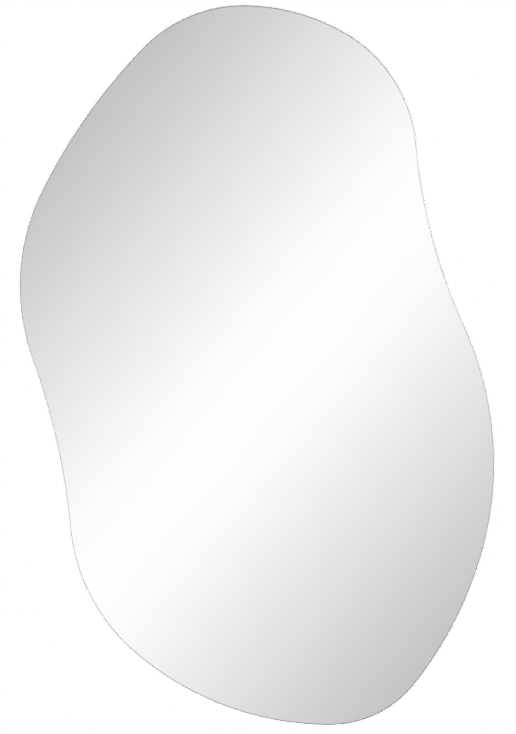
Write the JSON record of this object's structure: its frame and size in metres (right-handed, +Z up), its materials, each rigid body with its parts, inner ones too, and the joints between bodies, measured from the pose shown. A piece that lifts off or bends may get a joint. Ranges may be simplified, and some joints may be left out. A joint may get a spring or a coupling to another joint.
{
  "type": "irregular shaped mirror",
  "caption": "Frameless wall mirror with an asymmetrical pebble outline and a polished edge, on a hidden backer board with swinging rings to hang it upright or sideways.",
  "frame": {"origin": "on the wall plane, midway between the two hooks that the upper rings hang on", "axes": "+Z up as the mirror hangs upright, +Y into the wall, so the glass faces -Y; +X is to the right as seen from the front"},
  "size_m": [0.6029, 0.0233, 0.9139],
  "materials": {
    "silvered_glass": "polished float glass, silvered",
    "safety_film": "woven safety backing",
    "foam_tape": "closed-cell foam",
    "adhesive": "cured mirror adhesive",
    "fibreboard": "sanded medium density fibreboard",
    "zinc_plated_strip": "bright zinc plate",
    "zinc_plated_wire": "bright zinc plate",
    "screw_steel": "zinc plate",
    "bumper_rubber": "moulded rubber"
  },
  "bodies": {
    "mirror": {"mirror_glass": "silvered_glass", "safety_film": "safety_film", "foam_tape": "foam_tape", "mirror_adhesive": "adhesive", "backer_board": "fibreboard", "hanger_strap_upper_left": "zinc_plated_strip", "hanger_strap_upper_right": "zinc_plated_strip", "hanger_strap_side_upper": "zinc_plated_strip", "hanger_strap_side_lower": "zinc_plated_strip", "hanger_screws": "screw_steel", "bumper_upper_left": "bumper_rubber", "bumper_upper_right": "bumper_rubber", "bumper_lower_left": "bumper_rubber", "bumper_lower_right": "bumper_rubber"},
    "upper_left_ring": {"hanger_ring_upper_left": "zinc_plated_wire"},
    "upper_right_ring": {"hanger_ring_upper_right": "zinc_plated_wire"},
    "side_upper_ring": {"hanger_ring_side_upper": "zinc_plated_wire"},
    "side_lower_ring": {"hanger_ring_side_lower": "zinc_plated_wire"}
  },
  "joints": [
    {"name": "upper_left_ring_swing", "type": "hinge", "parent": "mirror", "child": "upper_left_ring", "pos_m": [-0.15, -0.0053, -0.0155], "axis": [-1, 0, 0], "range_deg": [0, 178]},
    {"name": "upper_right_ring_swing", "type": "hinge", "parent": "mirror", "child": "upper_right_ring", "pos_m": [0.15, -0.0053, -0.0155], "axis": [-1, 0, 0], "range_deg": [0, 178]},
    {"name": "side_upper_ring_swing", "type": "hinge", "parent": "mirror", "child": "side_upper_ring", "pos_m": [-0.189, -0.0053, -0.104], "axis": [0, 0, -1], "range_deg": [0, 178]},
    {"name": "side_lower_ring_swing", "type": "hinge", "parent": "mirror", "child": "side_lower_ring", "pos_m": [-0.189, -0.0053, -0.404], "axis": [0, 0, -1], "range_deg": [0, 178]}
  ]
}
